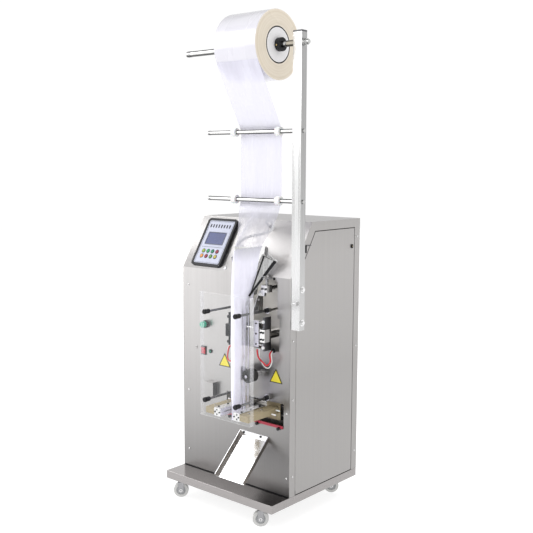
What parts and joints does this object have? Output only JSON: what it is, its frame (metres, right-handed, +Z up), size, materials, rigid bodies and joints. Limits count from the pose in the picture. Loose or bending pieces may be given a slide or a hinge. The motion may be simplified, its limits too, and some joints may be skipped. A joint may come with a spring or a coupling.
{
  "type": "vertical form fill sealer",
  "caption": "Free-standing stainless sachet packer on casters: film reel on a mast, folding former, fill tube, sealing jaws, knife, chute and clear guard.",
  "frame": {"origin": "on the floor, under the middle of the bounding box", "axes": "+Z up, -Y towards the operator's side with the guard and chute, +X towards the side with the mast and the door"},
  "size_m": [0.62, 0.624, 1.8895],
  "materials": {
    "base_tray": "brushed stainless steel",
    "cabinet_body": "brushed stainless steel",
    "cam_shaft": "polished",
    "caster_fork_front_left": "brushed stainless steel",
    "caster_fork_front_right": "brushed stainless steel",
    "caster_fork_rear_left": "brushed stainless steel",
    "caster_fork_rear_right": "brushed stainless steel",
    "caster_wheel_front_left": "white nylon",
    "caster_wheel_front_right": "white nylon",
    "caster_wheel_rear_left": "white nylon",
    "caster_wheel_rear_right": "white nylon",
    "control_box": "grey paint",
    "control_panel": "black moulding",
    "cutter_knife": "polished",
    "discharge_chute": "polished",
    "door_lock": "black",
    "dosing_pump": "brushed stainless steel",
    "fill_hose": "clear hose",
    "fill_tube": "polished",
    "film_collar_lower_left": "white nylon",
    "film_collar_lower_right": "white nylon",
    "film_collar_upper_left": "white nylon",
    "film_collar_upper_right": "white nylon",
    "film_roll": "wound clear film",
    "film_web": "clear film",
    "former": "polished",
    "front_guard": "clear acrylic",
    "front_panel": "brushed stainless steel",
    "gear_motor": "brushed stainless steel",
    "guide_rod_lower": "polished",
    "guide_rod_upper": "polished",
    "jaw_bar_left": "brushed stainless steel",
    "jaw_bar_right": "brushed stainless steel",
    "jaw_carriage_left": "tan phenolic sheet",
    "jaw_carriage_right": "tan phenolic sheet",
    "key_lower_1": "coloured",
    "key_lower_2": "coloured",
    "key_lower_3": "coloured",
    "key_lower_4": "coloured",
    "key_upper_1": "coloured",
    "key_upper_2": "coloured",
    "key_upper_3": "coloured",
    "key_upper_4": "coloured",
    "mast": "brushed stainless steel",
    "mechanism_plate": "brushed stainless steel",
    "power_inlet": "black",
    "power_rocker": "coloured",
    "pull_roller_left": "black rubber",
    "pull_roller_right": "black rubber",
    "pump_piston": "polished",
    "rear_panel": "brushed stainless steel",
    "reset_button": "coloured",
    "roll_hub": "white",
    "roll_shaft": "polished",
    "shaft_collar_left": "black nylon",
    "shaft_collar_right": "black nylon",
    "side_door": "brushed stainless steel",
    "start_button": "coloured",
    "vertical_sealer_left": "polished",
    "vertical_sealer_right": "polished"
  },
  "bodies": {
    "machine": {"base_tray": "base_tray", "cabinet_body": "cabinet_body", "control_box": "control_box", "control_panel": "control_panel", "discharge_chute": "discharge_chute", "dosing_pump": "dosing_pump", "fill_hose": "fill_hose", "fill_tube": "fill_tube", "film_collar_lower_left": "film_collar_lower_left", "film_collar_lower_right": "film_collar_lower_right", "film_collar_upper_left": "film_collar_upper_left", "film_collar_upper_right": "film_collar_upper_right", "film_web": "film_web", "former": "former", "front_guard": "front_guard", "front_panel": "front_panel", "gear_motor": "gear_motor", "guide_rod_lower": "guide_rod_lower", "guide_rod_upper": "guide_rod_upper", "mast": "mast", "mechanism_plate": "mechanism_plate", "power_inlet": "power_inlet", "rear_panel": "rear_panel", "roll_shaft": "roll_shaft", "shaft_collar_left": "shaft_collar_left", "shaft_collar_right": "shaft_collar_right"},
    "fork_front_left": {"caster_fork_front_left": "caster_fork_front_left"},
    "wheel_front_left": {"caster_wheel_front_left": "caster_wheel_front_left"},
    "fork_front_right": {"caster_fork_front_right": "caster_fork_front_right"},
    "wheel_front_right": {"caster_wheel_front_right": "caster_wheel_front_right"},
    "fork_rear_left": {"caster_fork_rear_left": "caster_fork_rear_left"},
    "wheel_rear_left": {"caster_wheel_rear_left": "caster_wheel_rear_left"},
    "fork_rear_right": {"caster_fork_rear_right": "caster_fork_rear_right"},
    "wheel_rear_right": {"caster_wheel_rear_right": "caster_wheel_rear_right"},
    "door": {"side_door": "side_door"},
    "lock": {"door_lock": "door_lock"},
    "reel": {"film_roll": "film_roll", "roll_hub": "roll_hub"},
    "sealer_right": {"vertical_sealer_right": "vertical_sealer_right"},
    "sealer_left": {"vertical_sealer_left": "vertical_sealer_left"},
    "roller_right": {"pull_roller_right": "pull_roller_right"},
    "roller_left": {"pull_roller_left": "pull_roller_left"},
    "jaw_right": {"jaw_bar_right": "jaw_bar_right", "jaw_carriage_right": "jaw_carriage_right"},
    "jaw_left": {"jaw_bar_left": "jaw_bar_left", "jaw_carriage_left": "jaw_carriage_left"},
    "knife": {"cutter_knife": "cutter_knife"},
    "cams": {"cam_shaft": "cam_shaft"},
    "piston": {"pump_piston": "pump_piston"},
    "key_upper_1": {"key_upper_1": "key_upper_1"},
    "key_upper_2": {"key_upper_2": "key_upper_2"},
    "key_upper_3": {"key_upper_3": "key_upper_3"},
    "key_upper_4": {"key_upper_4": "key_upper_4"},
    "key_lower_1": {"key_lower_1": "key_lower_1"},
    "key_lower_2": {"key_lower_2": "key_lower_2"},
    "key_lower_3": {"key_lower_3": "key_lower_3"},
    "key_lower_4": {"key_lower_4": "key_lower_4"},
    "start_button": {"start_button": "start_button"},
    "reset_button": {"reset_button": "reset_button"},
    "power_rocker": {"power_rocker": "power_rocker"}
  },
  "joints": [
    {"name": "swivel_front_left", "type": "hinge", "parent": "machine", "child": "fork_front_left", "pos_m": [-0.244, -0.175, 0.0655], "axis": [0, 0, 1], "continuous": true},
    {"name": "roll_front_left", "type": "hinge", "parent": "fork_front_left", "child": "wheel_front_left", "pos_m": [-0.25932, -0.18786, 0.03], "axis": [-0.6428, 0.766, 0], "continuous": true},
    {"name": "swivel_front_right", "type": "hinge", "parent": "machine", "child": "fork_front_right", "pos_m": [0.184, -0.175, 0.0655], "axis": [0, 0, 1], "continuous": true},
    {"name": "roll_front_right", "type": "hinge", "parent": "fork_front_right", "child": "wheel_front_right", "pos_m": [0.16868, -0.18786, 0.03], "axis": [-0.6428, 0.766, 0], "continuous": true},
    {"name": "swivel_rear_left", "type": "hinge", "parent": "machine", "child": "fork_rear_left", "pos_m": [-0.244, 0.266, 0.0655], "axis": [0, 0, 1], "continuous": true},
    {"name": "roll_rear_left", "type": "hinge", "parent": "fork_rear_left", "child": "wheel_rear_left", "pos_m": [-0.25932, 0.25314, 0.03], "axis": [-0.6428, 0.766, 0], "continuous": true},
    {"name": "swivel_rear_right", "type": "hinge", "parent": "machine", "child": "fork_rear_right", "pos_m": [0.184, 0.266, 0.0655], "axis": [0, 0, 1], "continuous": true},
    {"name": "roll_rear_right", "type": "hinge", "parent": "fork_rear_right", "child": "wheel_rear_right", "pos_m": [0.16868, 0.25314, 0.03], "axis": [-0.6428, 0.766, 0], "continuous": true},
    {"name": "door_hinge", "type": "hinge", "parent": "machine", "child": "door", "pos_m": [0.25, -0.086, 0.14], "axis": [0, 0, -1], "range_deg": [0, 90]},
    {"name": "lock_turn", "type": "hinge", "parent": "door", "child": "lock", "pos_m": [0.25, 0.2575, 1.0235], "axis": [-1, 0, 0], "range_deg": [0, 90]},
    {"name": "reel_spin", "type": "hinge", "parent": "machine", "child": "reel", "pos_m": [0.076, -0.1028, 1.765], "axis": [1, 0, 0], "continuous": true},
    {"name": "sealer_right_slide", "type": "slide", "parent": "machine", "child": "sealer_right", "axis": [-1, 0, 0], "range_m": [0, 0.0345]},
    {"name": "sealer_left_slide", "type": "slide", "parent": "machine", "child": "sealer_left", "axis": [1, 0, 0], "range_m": [0, 0.0345]},
    {"name": "roller_right_spin", "type": "hinge", "parent": "machine", "child": "roller_right", "pos_m": [0.1019, -0.16, 0.56], "axis": [0, -1, 0], "continuous": true},
    {"name": "roller_left_spin", "type": "hinge", "parent": "machine", "child": "roller_left", "pos_m": [0.0501, -0.16, 0.56], "axis": [0, -1, 0], "continuous": true},
    {"name": "jaw_right_slide", "type": "slide", "parent": "machine", "child": "jaw_right", "axis": [-1, 0, 0], "range_m": [0, 0.03]},
    {"name": "jaw_left_slide", "type": "slide", "parent": "machine", "child": "jaw_left", "axis": [1, 0, 0], "range_m": [0, 0.03]},
    {"name": "knife_slide", "type": "slide", "parent": "jaw_right", "child": "knife", "axis": [-1, 0, 0], "range_m": [0, 0.003], "stiffness_N_per_m": 300},
    {"name": "cam_shaft_spin", "type": "hinge", "parent": "machine", "child": "cams", "pos_m": [0, 0.03, 0.49], "axis": [1, 0, 0], "continuous": true},
    {"name": "piston_slide", "type": "slide", "parent": "machine", "child": "piston", "axis": [0, 0, 1], "range_m": [-0.05, 0.055]},
    {"name": "key_upper_1_press", "type": "slide", "parent": "machine", "child": "key_upper_1", "axis": [0, 0.8499, -0.5269], "range_m": [0, 0.0012], "stiffness_N_per_m": 400, "springref_m": -0.0002},
    {"name": "key_upper_2_press", "type": "slide", "parent": "machine", "child": "key_upper_2", "axis": [0, 0.8499, -0.5269], "range_m": [0, 0.0012], "stiffness_N_per_m": 400, "springref_m": -0.0002},
    {"name": "key_upper_3_press", "type": "slide", "parent": "machine", "child": "key_upper_3", "axis": [0, 0.8499, -0.5269], "range_m": [0, 0.0012], "stiffness_N_per_m": 400, "springref_m": -0.0002},
    {"name": "key_upper_4_press", "type": "slide", "parent": "machine", "child": "key_upper_4", "axis": [0, 0.8499, -0.5269], "range_m": [0, 0.0012], "stiffness_N_per_m": 400, "springref_m": -0.0002},
    {"name": "key_lower_1_press", "type": "slide", "parent": "machine", "child": "key_lower_1", "axis": [0, 0.8499, -0.5269], "range_m": [0, 0.0012], "stiffness_N_per_m": 400, "springref_m": -0.0002},
    {"name": "key_lower_2_press", "type": "slide", "parent": "machine", "child": "key_lower_2", "axis": [0, 0.8499, -0.5269], "range_m": [0, 0.0012], "stiffness_N_per_m": 400, "springref_m": -0.0002},
    {"name": "key_lower_3_press", "type": "slide", "parent": "machine", "child": "key_lower_3", "axis": [0, 0.8499, -0.5269], "range_m": [0, 0.0012], "stiffness_N_per_m": 400, "springref_m": -0.0002},
    {"name": "key_lower_4_press", "type": "slide", "parent": "machine", "child": "key_lower_4", "axis": [0, 0.8499, -0.5269], "range_m": [0, 0.0012], "stiffness_N_per_m": 400, "springref_m": -0.0002},
    {"name": "start_button_press", "type": "slide", "parent": "machine", "child": "start_button", "axis": [0, 1, 0], "range_m": [0, 0.004], "stiffness_N_per_m": 400},
    {"name": "reset_button_press", "type": "slide", "parent": "machine", "child": "reset_button", "axis": [0, 1, 0], "range_m": [0, 0.003], "stiffness_N_per_m": 400},
    {"name": "rocker_tip", "type": "hinge", "parent": "machine", "child": "power_rocker", "pos_m": [-0.193, -0.12, 0.6045], "axis": [-1, 0, 0], "range_deg": [0, 16]}
  ],
  "couplings": [
    {"joint": "sealer_left_slide", "follows": "sealer_right_slide", "ratio": 1},
    {"joint": "roller_left_spin", "follows": "roller_right_spin", "ratio": -1},
    {"joint": "jaw_left_slide", "follows": "jaw_right_slide", "ratio": 1}
  ]
}
